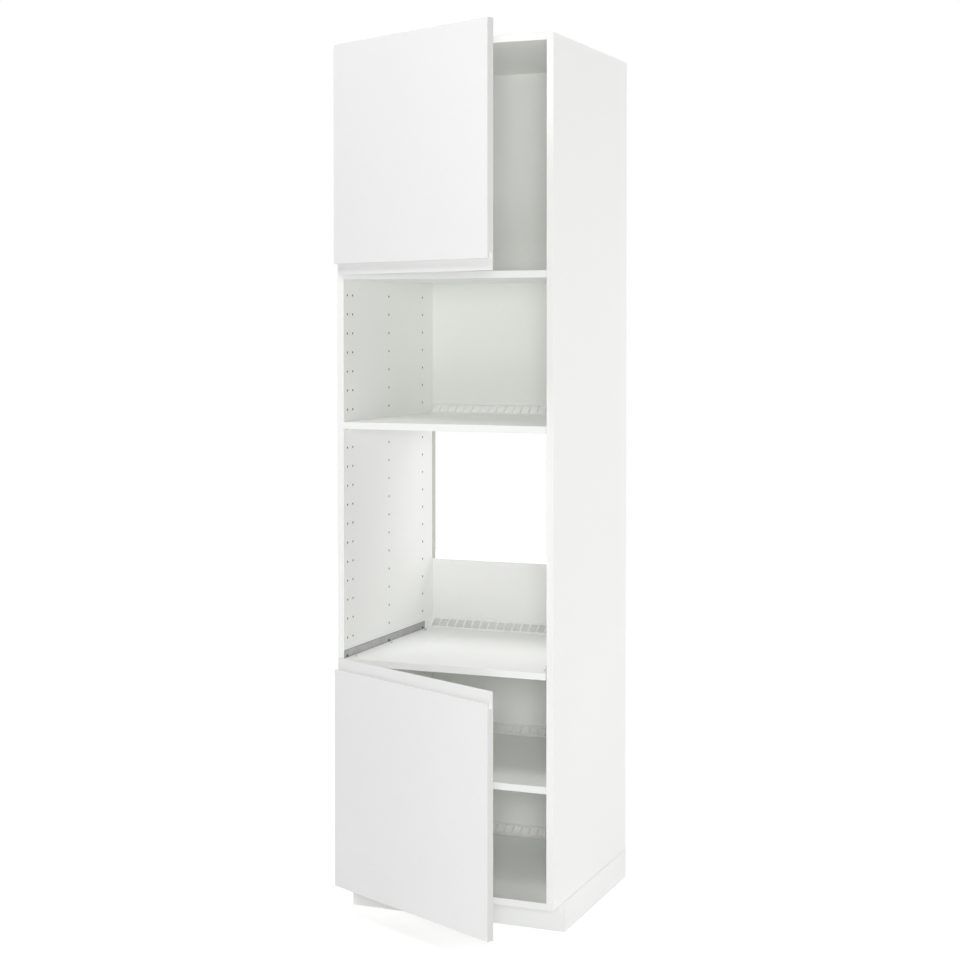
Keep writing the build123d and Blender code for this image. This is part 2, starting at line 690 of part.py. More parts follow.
def pegs(z, shelf_bottom):
    """Four spoon pegs that carry a loose shelf."""
    radius = HOLE_RADIUS - PEG_PLAY
    stem = rod_x((-INNER - HOLE_DEPTH, -INNER), 0, z, radius)
    spoon = block((-INNER, -INNER + PEG_REACH), (-HOLE_RADIUS, HOLE_RADIUS), (z - PEG_DROP, shelf_bottom))
    left = [Pos(0, FRONT + column, 0) * (stem + spoon) for column in PEG_COLUMNS]
    return left + [mirrored(solid) for solid in left]


def grille(shelf_top):
    """Ladder of bars that slopes up to the back panel from a flat lip at the rear edge of a shelf."""
    near = SHELF_Y + GRILLE_PLAY
    bend = near + GRILLE_LIP
    far = BACK_Y - GRILLE_PLAY
    run = far - bend
    slope = hypot(run, GRILLE_RISE)
    drop = GRILLE_WALL * slope / run
    tuck = GRILLE_WALL * (slope - run) / GRILLE_RISE
    outline = [
        (near, shelf_top - GRILLE_FOOT),
        (near, shelf_top),
        (bend, shelf_top),
        (far, shelf_top + GRILLE_RISE),
        (far, shelf_top + GRILLE_RISE - drop),
        (bend + tuck, shelf_top - GRILLE_WALL),
        (near + GRILLE_WALL, shelf_top - GRILLE_WALL),
        (near + GRILLE_WALL, shelf_top - GRILLE_FOOT),
    ]
    reach = INNER - SIDE_PLAY
    profile = make_face(Polyline(*[(-reach, y, z) for y, z in outline], close=True))
    strip = extrude(profile, 2 * reach, dir=(1, 0, 0))
    slope_plane = Plane(origin=(0, bend, shelf_top), x_dir=(1, 0, 0),
                        z_dir=(0, -GRILLE_RISE, run))
    slot = GRILLE_PITCH - GRILLE_BAR
    low = GRILLE_RAIL
    high = slope - GRILLE_RAIL
    count = int((2 * reach - 2 * GRILLE_RAIL) / GRILLE_PITCH)
    first = -(count * GRILLE_PITCH - GRILLE_BAR) / 2
    cuts = []
    for i in range(count):
        x = first + i * GRILLE_PITCH
        gap = make_face(Polyline((x, low), (x + slot, low), (x + slot, high), (x, high), close=True))
        cuts.append(extrude(slope_plane * gap, 2 * GRILLE_WALL, both=True))
    return strip - cuts


def back_panel(z):
    """Thin sheet held in the grooves of the side panels."""
    reach = INNER + GROOVE_DEPTH - SIDE_PLAY
    return block((-reach, reach), (BACK_Y, BACK_Y + BACK_THICKNESS), z)


def bracket_hole_x():
    """Distance of a wall screw from the middle of the cabinet."""
    return INNER - BRACKET_WIDTH / 2


def upper_back_panel():
    """Back sheet from the microwave shelf to the top, with access holes to the wall screws."""
    sheet = back_panel((MICROWAVE_SHELF_Z[0] + UPPER_BACK_LAP, TOP_Z))
    for side in (-1, 1):
        sheet -= rod_y(side * bracket_hole_x(), (BACK_Y, BACK_Y + BACK_THICKNESS), BRACKET_Z,
                       ACCESS_HOLE_RADIUS)
    return sheet


def wall_bracket():
    """Left angle plate behind the back panel, with a hole for a wall screw."""
    z = (BRACKET_Z - BRACKET_HEIGHT / 2, BRACKET_Z + BRACKET_HEIGHT / 2)
    plate = block((-INNER, -INNER + BRACKET_WALL), (BRACKET_Y, BACK), z)
    plate += block((-INNER, -INNER + BRACKET_WIDTH), (BACK - BRACKET_WALL, BACK), z)
    plate -= rod_y(-bracket_hole_x(), (BACK - BRACKET_WALL, BACK), BRACKET_Z, BRACKET_HOLE_RADIUS)
    for side in (-1, 1):
        plate -= rod_x((-INNER, -INNER + BRACKET_WALL), (BRACKET_Y + BACK) / 2,
                       BRACKET_Z + side * BRACKET_SCREW_SPREAD, SCREW_SHANK_RADIUS + SCREW_PLAY)
    return plate


def bracket_screws():
    """Screws of both wall brackets, into the side panels."""
    one = turned(screw(SCREW_BITE + BRACKET_WALL), "-X")
    left = [Pos(-INNER + BRACKET_WALL, (BRACKET_Y + BACK) / 2, BRACKET_Z + side * BRACKET_SCREW_SPREAD) * one
            for side in (-1, 1)]
    return left + [mirrored(solid) for solid in left]


# Base

def leg_socket(place):
    """Plate and tube under the floor of the carcass, with a spigot up into it."""
    x, y = place
    half = SOCKET_PLATE / 2
    plate_z = (FLOOR_Z - SOCKET_PLATE_THICKNESS, FLOOR_Z)
    socket = block((x - half, x + half), (y - half, y + half), plate_z)
    socket += rod_z(x, y, (plate_z[0] - SOCKET_LENGTH, plate_z[0]), SOCKET_RADIUS)
    socket += rod_z(x, y, (FLOOR_Z, FLOOR_Z + SPIGOT_LENGTH), SPIGOT_RADIUS)
    return socket - rod_z(x, y, (plate_z[0] - SOCKET_LENGTH, plate_z[0]), SHAFT_RADIUS + SHAFT_PLAY)


def foot(place):
    """Foot disc and shaft that run up into a socket."""
    x, y = place
    base = fillet(rod_z(x, y, (0, FOOT_THICKNESS), FOOT_RADIUS).edges().group_by(Axis.Z)[-1], FOOT_ROUND)
    top = FLOOR_Z - SOCKET_PLATE_THICKNESS - SHAFT_TOP_ROOM
    return base + rod_z(x, y, (FOOT_THICKNESS, top), SHAFT_RADIUS)


def bottom_panel():
    """Floor of the carcass, with a hole for the spigot of each leg."""
    board = fixed_panel(BOTTOM_Z, SHELF_Y, False)
    holes = [rod_z(x, y, (FLOOR_Z, FLOOR_Z + SPIGOT_LENGTH + SPIGOT_PLAY), SPIGOT_RADIUS + SPIGOT_PLAY)
             for x, y in LEG_PLACES.values()]
    return board - holes


PLINTH_Z = (PLINTH_FLOOR_GAP, FLOOR_Z - PLINTH_TOP_GAP)
PLINTH_FRONT = FRONT + PLINTH_SETBACK
PLINTH_REAR_FACE = PLINTH_FRONT + PLINTH_THICKNESS
CLIP_Z = (FLOOR_Z - SOCKET_PLATE_THICKNESS - SOCKET_LENGTH + CLIP_HEIGHT / 2,
          FLOOR_Z - SOCKET_PLATE_THICKNESS - SOCKET_LENGTH + CLIP_HEIGHT / 2 + CLIP_HEIGHT)


def plinth_clip(place, to_front):
    """Ring round a leg socket with a bar to each plinth board beside it."""
    x, y = place
    inner = SOCKET_RADIUS + CLIP_PLAY
    outer = inner + CLIP_WALL
    side_face = INNER + BOARD - PLINTH_THICKNESS
    half = CLIP_BAR / 2
    clip = rod_z(x, y, CLIP_Z, outer)
    clip += block(sorted((x, side_face if x > 0 else -side_face)), (y - half, y + half), CLIP_Z)
    if to_front:
        clip += block((x - half, x + half), (PLINTH_REAR_FACE, y), CLIP_Z)
    return clip - rod_z(x, y, CLIP_Z, inner)


def side_plinth():
    """Left plinth board, flush with the side panel."""
    return block((LEFT, LEFT + PLINTH_THICKNESS), (PLINTH_REAR_FACE, BACK), PLINTH_Z)


def front_plinth():
    """Front plinth board across the whole width, set back for feet."""
    return block((LEFT, RIGHT), (PLINTH_FRONT, PLINTH_REAR_FACE), PLINTH_Z)


def build_hinges(name, rows):
    """Write the hinge nodes of one door and return the solids that all hinges share."""
    levels = [row(i) for i in rows]
    for place, z in zip(("bottom", "top"), levels):
        save(f"{name}_{place}_hinge_cup", hinge_cup(z))
        save(f"{name}_{place}_hinge_arm", hinge_arm(z))
        save(f"{name}_{place}_outer_link", outer_link(z))
        save(f"{name}_{place}_inner_link", inner_link(z))
    save(f"{name}_hinge_pins", *[pin for z in levels for pin in cup_pins(z)])
    save(f"{name}_cup_screws", *[one for z in levels for one in cup_screws(z)])
    return levels


def build():
    """Write every node."""
    os.makedirs("parts", exist_ok=True)
    left_side = side_panel()
    save("left_side_panel", left_side)
    save("right_side_panel", mirrored(left_side))
    save("top_panel", fixed_panel(TOP_PANEL_Z, BACK_Y - GROOVE_PLAY, True))
    save("bottom_panel", bottom_panel())
    save("upper_shelf", fixed_panel(UPPER_SHELF_Z, BACK_Y - GROOVE_PLAY, True))
    save("microwave_shelf", loose_shelf(MICROWAVE_SHELF_Z, FRONT))
    save("lower_shelf", loose_shelf(LOWER_SHELF_Z, FRONT + LOWER_SHELF_SETBACK))
    save("oven_shelf", oven_shelf())
    save("upper_back_panel", upper_back_panel())
    save("lower_back_panel", back_panel((FLOOR_Z, FLOOR_Z + LOWER_BACK_HEIGHT)))
    for name, z in (("bottom", BOTTOM_Z), ("lower_shelf", LOWER_SHELF_Z), ("oven_shelf", OVEN_SHELF_Z),
                    ("microwave_shelf", MICROWAVE_SHELF_Z)):
        save(f"{name}_grille", grille(z[1]))
    rail = oven_rail()
    save("left_oven_rail", rail)
    save("right_oven_rail", mirrored(rail))
    save("rail_screws", *rail_screws())
    save("shelf_screws", *shelf_screws())
    save("microwave_shelf_pegs", *pegs(row(MICROWAVE_ROW), MICROWAVE_SHELF_BOTTOM))
    save("lower_shelf_pegs", *pegs(LOWER_PEG_Z, LOWER_SHELF_BOTTOM))
    save("panel_dowels", *dowels())
    save("cam_discs", *cam_discs())
    bracket = wall_bracket()
    save("wall_brackets", bracket, mirrored(bracket))
    save("wall_bracket_screws", *bracket_screws())
    save("leg_sockets", *[leg_socket(place) for place in LEG_PLACES.values()])
    for name, place in LEG_PLACES.items():
        save(f"{name}_foot", foot(place))
    save("front_plinth", front_plinth())
    save("left_plinth", side_plinth())
    save("right_plinth", mirrored(side_plinth()))
    save("plinth_clips", *[plinth_clip(place, "front" in name) for name, place in LEG_PLACES.items()])
    levels = []
    for name, rows, bottom, module, grip_at_top in (
        ("lower_door", LOWER_DOOR_ROWS, FLOOR_Z + DOOR_REVEAL, LOWER_MODULE, True),
        ("upper_door", UPPER_DOOR_ROWS, TOP_Z - UPPER_MODULE + DOOR_REVEAL, UPPER_MODULE, False),
    ):
        height = module - 2 * DOOR_REVEAL
        hinge_levels = build_hinges(name, rows)
        save(name, door(bottom, height, grip_at_top, hinge_levels))
        save(f"{name}_bumpers", *bumpers(bottom, height))
        levels += hinge_levels
    save("hinge_plates", *[hinge_plate(z) for z in levels])
    save("hinge_plate_screws", *[one for z in levels for one in plate_screws(z)])
    save("hinge_arm_pins", *[pin for z in levels for pin in arm_pins(z)])


build()
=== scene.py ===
import json
import math

import bpy
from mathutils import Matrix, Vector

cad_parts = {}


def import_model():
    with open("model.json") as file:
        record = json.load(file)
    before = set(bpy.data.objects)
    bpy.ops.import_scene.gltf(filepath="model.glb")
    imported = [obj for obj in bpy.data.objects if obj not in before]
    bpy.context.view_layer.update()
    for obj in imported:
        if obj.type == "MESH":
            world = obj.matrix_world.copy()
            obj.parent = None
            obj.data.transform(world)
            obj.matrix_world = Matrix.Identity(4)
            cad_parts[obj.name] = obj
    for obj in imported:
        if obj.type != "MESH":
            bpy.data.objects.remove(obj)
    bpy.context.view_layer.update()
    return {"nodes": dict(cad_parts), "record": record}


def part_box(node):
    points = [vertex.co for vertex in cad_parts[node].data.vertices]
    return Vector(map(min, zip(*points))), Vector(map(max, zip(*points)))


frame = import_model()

# Lengths are in metres
# The doors stand open in the frame's rest pose, so their own axes are turned by this angle
DOOR_ANGLE = math.radians(26.0)
DOOR_WIDTH_AXIS = (math.cos(DOOR_ANGLE), -math.sin(DOOR_ANGLE), 0.0)
DOOR_DEPTH_AXIS = (math.sin(DOOR_ANGLE), math.cos(DOOR_ANGLE), 0.0)

# What lies deeper than this below a board's faces is its core
SKIN = 0.0004
BACK_FACE_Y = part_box("upper_back_panel")[0].y - SKIN

# Camera, matched to the photograph's edges
CAMERA_PLACE = (1.8711, -4.6428, 1.5568)
CAMERA_YAW = math.radians(22.157)
CAMERA_PITCH = math.radians(1.064)
CAMERA_LENS = 69.4
CAMERA_SENSOR = 36.0
CAMERA_SHIFT_Y = -0.128

# Light: strength of the surroundings, watts of the lamps
WORLD_LIGHT = 0.39
SEEN_WHITE = 1.0
FRONT_LAMP = 59.0
LOW_LAMP = 18.0
HIGH_LAMP = 40.0
FAR_LAMP = 10.0
SIDE_LAMP = 45.0
REAR_LAMP = 44.0
BOUNCES = 16

# Floor, which glows more with the distance from the object
FLOOR_SIZE = 14.0
FLOOR_GLOW_NEAR = 0.47
FLOOR_GLOW_FAR = 0.82
FLOOR_GLOW_START = 1.0
FLOOR_GLOW_END = 6.5

# Rows of holes in the side panels, as the CAD has them, and the chipped rim round each hole, painted dark
# as shade of the hole
HOLE_FIRST_Z = 0.1288
HOLE_PITCH = 0.05
HOLE_COLUMNS_Y = (-0.278, -0.246, -0.020, 0.208)
HOLE_RIM = 0.0032
HOLE_CHIP = 0.0002

# Radii by which edges look rounded
BOARD_EDGE = 0.0008
DOOR_EDGE = 0.0012
PLASTIC_EDGE = 0.0006
SHEET_EDGE = 0.0004
PLATED_EDGE = 0.0003

# Where an edge begins and is full, as the cosine between the rounded normal and the true one
EDGE_BEGINS = 0.999
EDGE_FULL = 0.86
BEVEL_SAMPLES = 4

# Seams and rims
BAND_THICKNESS = 0.001
BOARD_SEAM = 0.00022
DOOR_SEAM = 0.00025
DOOR_SEAM_INSET = 0.0011
RAIL_RIM = 0.003

# The range that most of a noise lies in
NOISE_LOW = 0.3
NOISE_HIGH = 0.7


def rgb(red, green, blue):
    return (red, green, blue, 1.0)


def grey(level, warm=0.0):
    """Near-neutral colour, a little warm or cool."""
    return rgb(level * (1 + warm), level, level * (1 - warm))


def scaled(colour, factor):
    """The same colour, darker or lighter."""
    return rgb(*[c * factor for c in colour[:3]])


# Whites of the foils and grilles, and the black of the legs
FOIL = rgb(0.932, 0.937, 0.922)
DOOR_FOIL = rgb(0.935, 0.938, 0.932)
# Painted shade: the doors' upright sides, the door white darkened by a fixed factor
DOOR_SIDE_PAINTED_SHADE = scaled(DOOR_FOIL, 0.78)
PLINTH_FOIL = rgb(0.925, 0.930, 0.918)
BACK_FOIL = rgb(0.875, 0.880, 0.861)
VENT_WHITE = rgb(0.905, 0.910, 0.896)
LEG_BLACK = grey(0.045)

# Shades of wear, seams and dirt, and painted shade round the holes and along the rails' rims
SCUFF = grey(0.66)
WORN_BOARD = grey(0.74, 0.01)
WORN_DOOR = grey(0.76, 0.01)
BOARD_SEAM_SHADE = grey(0.52, 0.03)
DOOR_SEAM_SHADE = grey(0.55, 0.02)
# Painted shade of the holes, laid on the rims round them
HOLE_SHADE = grey(0.10, 0.05)
DUST = grey(0.42, 0.03)
WORN_ZINC = grey(0.78)
# Darker rail rims; along the shelf's top they are painted shade where the rail meets the shelf
RIM_DARK_AND_PAINTED_SHADE = grey(0.16)
BRIGHT_STEEL = grey(0.9, 0.01)
BEECH_FLECK = rgb(0.33, 0.21, 0.12)

# Dark and light tone of what is mottled
# Chipboard core, darkened far below bare chipboard as painted shade in the drilled holes
CORE_CHIPS_AND_PAINTED_SHADE = (rgb(0.03, 0.023, 0.016), rgb(0.09, 0.07, 0.05))
BARE_CHIPS = (rgb(0.48, 0.47, 0.44), rgb(0.66, 0.65, 0.62))
BROWN_FIBRE = (rgb(0.27, 0.17, 0.10), rgb(0.46, 0.32, 0.20))
BEECH = (rgb(0.50, 0.35, 0.21), rgb(0.68, 0.52, 0.34))
CLEAR_PLASTIC = (rgb(0.80, 0.81, 0.80), rgb(0.90, 0.91, 0.90))
NICKEL = (grey(0.60, 0.015), grey(0.72, 0.02))
PEG_NICKEL = (grey(0.58, 0.012), grey(0.70, 0.015))
ZINC = (grey(0.50, -0.01), grey(0.64, -0.012))
# Painted shade: the rail screws' steel, darkened all over for the shade in their drive recesses
SCREW_PAINTED_SHADE = (grey(0.10), grey(0.17))
RAIL_ZINC = (grey(0.43), grey(0.60))
BRACKET_ZINC = (grey(0.50), grey(0.64))


class Tree:
    """A node tree, with short ways to add nodes and join them."""

    def __init__(self, owner):
        owner.use_nodes = True
        self.tree = owner.node_tree
        self.tree.nodes.clear()

    def feed(self, socket, value):
        if isinstance(value, bpy.types.NodeSocket):
            self.tree.links.new(value, socket)
        else:
            socket.default_value = value

    def node(self, kind, settings=None, inputs=None):
        made = self.tree.nodes.new(kind)
        for key, value in (settings or {}).items():
            setattr(made, key, value)
        for key, value in (inputs or {}).items():
            self.feed(made.inputs[key], value)
        return made

    def calc(self, operation, a, b=0.0):
        made = self.node("ShaderNodeMath", {"operation": operation}, {0: a, 1: b})
        return made.outputs[0]

    def seen(self):
        """1 for rays that come from the camera, or by way of metal or glass."""
        rays = self.node("ShaderNodeLightPath").outputs
        sent_on = self.calc("MAXIMUM", rays["Is Glossy Ray"], rays["Is Transmission Ray"])
        return self.calc("MAXIMUM", rays["Is Camera Ray"], sent_on)


class Surface(Tree):
    """A material's node tree, in the coordinates of the frame."""

    def __init__(self, name):
        self.material = bpy.data.materials.new(name)
        super().__init__(self.material)
        coords = self.node("ShaderNodeTexCoord")
        self.place = coords.outputs["Object"]
        self.facing = coords.outputs["Normal"]

    def axis(self, name, vector=None):
        source = self.place if vector is None else vector
        return self.node("ShaderNodeSeparateXYZ", None, {0: source}).outputs[name]

    def dot(self, a, b):
        made = self.node("ShaderNodeVectorMath", {"operation": "DOT_PRODUCT"}, {0: a, 1: b})
        return made.outputs["Value"]

    def noise(self, scale, detail=2.0, roughness=0.5, stretch=None):
        place = self.place
        if stretch is not None:
            place = self.node("ShaderNodeMapping", None, {"Vector": place, "Scale": stretch}).outputs[0]
        made = self.node("ShaderNodeTexNoise", None, {
            "Vector": place, "Scale": scale, "Detail": detail, "Roughness": roughness})
        return made.outputs["Fac"]

    def cells(self, scale):
        """One random level for each cell."""
        made = self.node("ShaderNodeTexVoronoi", None, {"Vector": self.place, "Scale": scale})
        return self.node("ShaderNodeSeparateColor", None, {0: made.outputs["Color"]}).outputs[0]

    def span(self, value, low, high, to_low=0.0, to_high=1.0):
        """A value taken smoothly from one range to another."""
        made = self.node("ShaderNodeMapRange", {"interpolation_type": "SMOOTHSTEP"}, {
            "Value": value, "From Min": low, "From Max": high, "To Min": to_low, "To Max": to_high})
        return made.outputs[0]

    def spread(self, noise, to_low=0.0, to_high=1.0):
        """A noise taken smoothly from its usual range to another."""
        return self.span(noise, NOISE_LOW, NOISE_HIGH, to_low, to_high)

    def share(self, mask, amount):
        return self.calc("MULTIPLY", mask, amount)

    def mix(self, mask, a, b):
        """Colour a, turned to b by a mask. Sockets go by number, because their names repeat."""
        made = self.node("ShaderNodeMix", {"data_type": "RGBA"}, {0: mask, 6: a, 7: b})
        return made.outputs[2]

    def bump(self, height, depth, strength, normal=None):
        made = self.node("ShaderNodeBump", None, {
            "Height": height, "Distance": depth, "Strength": strength})
        if normal is not None:
            self.feed(made.inputs["Normal"], normal)
        return made.outputs[0]

    def soft_edges(self, radius):
        """Normal rounded at edges, and a mask that is 1 on them."""
        rounded = self.node("ShaderNodeBevel", {"samples": BEVEL_SAMPLES}, {"Radius": radius}).outputs[0]
        true = self.node("ShaderNodeNewGeometry").outputs["True Normal"]
        return rounded, self.span(self.dot(rounded, true), EDGE_BEGINS, EDGE_FULL)

    def finish(self, **sockets):
        """Shader with these sockets, whose names have an underscore for each space."""
        inputs = {key.replace("_", " "): value for key, value in sockets.items()}
        shader = self.node("ShaderNodeBsdfPrincipled", None, inputs)
        self.node("ShaderNodeOutputMaterial", None, {"Surface": shader.outputs[0]})
        return self.material


def foil_colour(s, tint):
    """White foil: slow drift and a faint printed mottle over the written colour."""
    drift = s.span(s.noise(2.2, detail=3.0), 0.32, 0.68)
    mottle = s.spread(s.noise(160.0, detail=3.0, roughness=0.6))
    shade = s.mix(drift, scaled(tint, 0.985), tint)
    return s.mix(s.share(mottle, 0.35), shade, scaled(tint, 0.965))


def scuffs(s, stretch):
    """Fine handling lines along one direction, 0 nearly everywhere."""
    lines = s.noise(1.0, detail=2.0, roughness=0.6, stretch=stretch)
    patches = s.span(s.noise(9.0), 0.55, 0.75)
    return s.calc("MULTIPLY", s.span(lines, 0.66, 0.74), patches)


def inside(s, low, high):
    """1 where a point lies deep within a box, such as on the wall of a drilled hole."""
    found = None
    for axis, a, b in zip("XYZ", low, high):
        here = s.axis(axis)
        above = s.calc("GREATER_THAN", here, a + SKIN)
        deep = s.calc("MULTIPLY", above, s.calc("LESS_THAN", here, b - SKIN))
        found = deep if found is None else s.calc("MULTIPLY", found, deep)
    return found


def line_at(s, value, place, width):
    """1 on a thin line where value is near place."""
    away = s.calc("ABSOLUTE", s.calc("SUBTRACT", value, place))
    return s.calc("LESS_THAN", away, width / 2)


def hole_rims_with_painted_shade(s):
    """1 on a chipped rim round each hole of the side panels' rows, where the hole's shade is painted."""
    row = s.calc("SUBTRACT", s.axis("Z"), HOLE_FIRST_Z - HOLE_PITCH / 2)
    up = s.calc("SUBTRACT", s.calc("MODULO", row, HOLE_PITCH), HOLE_PITCH / 2)
    across = None
    for column in HOLE_COLUMNS_Y:
        away = s.calc("ABSOLUTE", s.calc("SUBTRACT", s.axis("Y"), column))
        across = away if across is None else s.calc("MINIMUM", across, away)
    radius = s.calc("SQRT", s.calc("ADD", s.calc("POWER", up, 2.0), s.calc("POWER", across, 2.0)))
    chipped = s.calc("ADD", radius, s.spread(s.noise(900.0), -HOLE_CHIP, HOLE_CHIP))
    return s.calc("LESS_THAN", chipped, HOLE_RIM)


def chipboard(s, tones):
    """Colour of pressed wood chips without foil."""
    return s.mix(s.cells(900.0), *tones)


def board(name, tint, seam_y=None, drilled=True, bare_y=None):
    """Chipboard under white foil with a fine pebble, an edge band and lightly worn edges.

    Behind bare_y the inner face and the rear edge have no foil.
    """
    s = Surface(name)
    low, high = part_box(name)
    normal, edge = s.soft_edges(BOARD_EDGE)
    marks = scuffs(s, (30.0, 4.0, 700.0))
    colour = s.mix(s.share(marks, 0.25), foil_colour(s, tint), SCUFF)
    worn = s.calc("MULTIPLY", edge, s.span(s.noise(38.0, detail=3.0), 0.4, 0.62, 0.05, 0.45))
    colour = s.mix(worn, colour, WORN_BOARD)
    if seam_y is not None:
        seam = line_at(s, s.axis("Y"), seam_y, BOARD_SEAM)
        colour = s.mix(s.share(seam, 0.35), colour, BOARD_SEAM_SHADE)
    # Painted shade: the walls of holes and cuts deep in the board take the darkened core tone
    if drilled:
        rear = (high[0], min(high[1], BACK_FACE_Y), high[2])
        colour = s.mix(inside(s, low, rear), colour, chipboard(s, CORE_CHIPS_AND_PAINTED_SHADE))
    if bare_y is not None:
        outer_x = max(abs(low[0]), abs(high[0])) - SKIN
        inward = s.calc("LESS_THAN", s.calc("ABSOLUTE", s.axis("X")), outer_x)
        # Painted shade: a dark chipped rim round each hole on the inner face
        rim = s.calc("MULTIPLY", inward, hole_rims_with_painted_shade(s))
        colour = s.mix(s.share(rim, 0.7), colour, HOLE_SHADE)
        bare = s.calc("MULTIPLY", inward, s.calc("GREATER_THAN", s.axis("Y"), bare_y))
        colour = s.mix(bare, colour, chipboard(s, BARE_CHIPS))
    rough = s.calc("ADD", s.spread(s.noise(420.0), 0.40, 0.50), s.share(marks, -0.12))
    wave = s.bump(s.noise(14.0, detail=1.0), depth=0.0004, strength=0.25, normal=normal)
    pebble = s.bump(s.noise(1400.0, detail=2.0, roughness=0.55), depth=0.00006, strength=0.6, normal=wave)
    return s.finish(Base_Color=colour, Roughness=rough, Normal=pebble)


def door_surface(name, tint):
    """Smooth matt foil over a door: soft peel, painted shade on the upright sides, worn edges, a seam
    near the back.
    """
    s = Surface(name)
    across, back = DOOR_DEPTH_AXIS[:2]
    rear = max(v.co.x * across + v.co.y * back for v in frame["nodes"][name].data.vertices)
    normal, edge = s.soft_edges(DOOR_EDGE)
    seam = line_at(s, s.dot(s.place, DOOR_DEPTH_AXIS), rear - DOOR_SEAM_INSET, DOOR_SEAM)
    colour = s.mix(s.share(seam, 0.4), foil_colour(s, tint), DOOR_SEAM_SHADE)
    # Painted shade: the upright sides, which face across the door's width, are darkened
    painted_side_shade = s.calc("ABSOLUTE", s.dot(s.facing, DOOR_WIDTH_AXIS))
    colour = s.mix(s.span(painted_side_shade, 0.6, 0.95), colour, DOOR_SIDE_PAINTED_SHADE)
    worn = s.calc("MULTIPLY", edge, s.span(s.noise(30.0, detail=3.0), 0.42, 0.62, 0.02, 0.3))
    colour = s.mix(worn, colour, WORN_DOOR)
    marks = scuffs(s, (40.0, 40.0, 500.0))
    rough = s.calc("ADD", s.spread(s.noise(300.0), 0.50, 0.58), s.share(marks, -0.1))
    wave = s.bump(s.noise(7.0, detail=1.0), depth=0.0006, strength=0.2, normal=normal)
    peel = s.bump(s.noise(520.0, detail=2.0, roughness=0.45), depth=0.00003, strength=0.5, normal=wave)
    return s.finish(Base_Color=colour, Roughness=rough, Specular_IOR_Level=0.25, Normal=peel)


def back_surface(name, tint):
    """Thin hardboard: white foil with a fine linen print in front, brown fibre behind."""
    s = Surface(name)
    warp = s.noise(1.0, detail=1.0, roughness=0.5, stretch=(1600.0, 1.0, 60.0))
    weft = s.noise(1.0, detail=1.0, roughness=0.5, stretch=(60.0, 1.0, 1600.0))
    linen = s.calc("ADD", warp, weft)
    fibre = s.noise(240.0, detail=5.0, roughness=0.65, stretch=(1.0, 1.0, 0.45))
    brown = s.mix(s.spread(fibre), *BROWN_FIBRE)
    rear = s.calc("GREATER_THAN", s.axis("Y", s.facing), 0.5)
    colour = s.mix(rear, foil_colour(s, tint), brown)
    rough = s.calc("ADD", s.span(linen, 0.7, 1.3, 0.42, 0.52), s.share(rear, 0.3))
    return s.finish(Base_Color=colour, Roughness=rough, Normal=s.bump(linen, depth=0.00004, strength=0.5))


def moulded(name, tint, rough, grain, dust=0.0, subsurface=0.0):
    """Moulded plastic with a spark-textured grain, a soft gloss and dust where it faces up."""
    s = Surface(name)
    normal, edge = s.soft_edges(PLASTIC_EDGE)
    pale = rgb(*[min(1.0, c * 1.08 + 0.01) for c in tint[:3]])
    colour = s.mix(s.spread(s.noise(20.0, detail=3.0)), scaled(tint, 0.95), tint)
    colour = s.mix(s.share(edge, 0.35), colour, pale)
    value = s.spread(s.noise(260.0), *rough)
    if dust:
        up = s.span(s.axis("Z", s.facing), 0.6, 1.0)
        settled = s.calc("MULTIPLY", up, s.span(s.noise(60.0, detail=4.0), 0.35, 0.7))
        settled = s.share(settled, dust)
        colour = s.mix(settled, colour, DUST)
        value = s.calc("ADD", value, s.share(settled, 0.4))
    pits = s.bump(s.noise(grain, detail=3.0, roughness=0.6), depth=0.00005, strength=0.6, normal=normal)
    return s.finish(Base_Color=colour, Roughness=value, Normal=pits,
                    Subsurface_Weight=subsurface, Subsurface_Scale=0.002)


def rims(s, axis, places):
    """1 on thin lines across one axis."""
    found = 0.0
    for place in places:
        found = s.calc("MAXIMUM", found, line_at(s, s.axis(axis), place, RAIL_RIM))
    return found


def galvanised(name, tones, flake, rim_z=(), rim_y=()):
    """Zinc-dipped sheet: crystal spangle, rolled lines along the sheet, worn cut edges and darker rim
    lines, the one along the shelf being painted shade.
    """
    s = Surface(name)
    normal, edge = s.soft_edges(SHEET_EDGE)
    cloud = s.spread(s.noise(55.0, detail=3.0))
    tone = s.calc("ADD", s.share(s.cells(flake), 0.55), s.share(cloud, 0.45))
    colour = s.mix(s.share(edge, 0.6), s.mix(tone, *tones), WORN_ZINC)
    # Darker rim lines; the one along the shelf's top is painted shade where the rail meets the shelf
    if rim_z or rim_y:
        dark_rims_and_shade = s.calc("MAXIMUM", rims(s, "Z", rim_z), rims(s, "Y", rim_y))
        colour = s.mix(s.share(dark_rims_and_shade, 0.55), colour, RIM_DARK_AND_PAINTED_SHADE)
    rolled = s.noise(1.0, detail=2.0, roughness=0.6, stretch=(900.0, 6.0, 900.0))
    rough = s.calc("ADD", s.span(tone, 0.2, 0.8, 0.34, 0.50), s.spread(rolled, -0.04, 0.04))
    lines = s.bump(rolled, depth=0.00003, strength=0.4, normal=normal)
    return s.finish(Base_Color=colour, Metallic=0.9, Roughness=rough, Normal=lines)


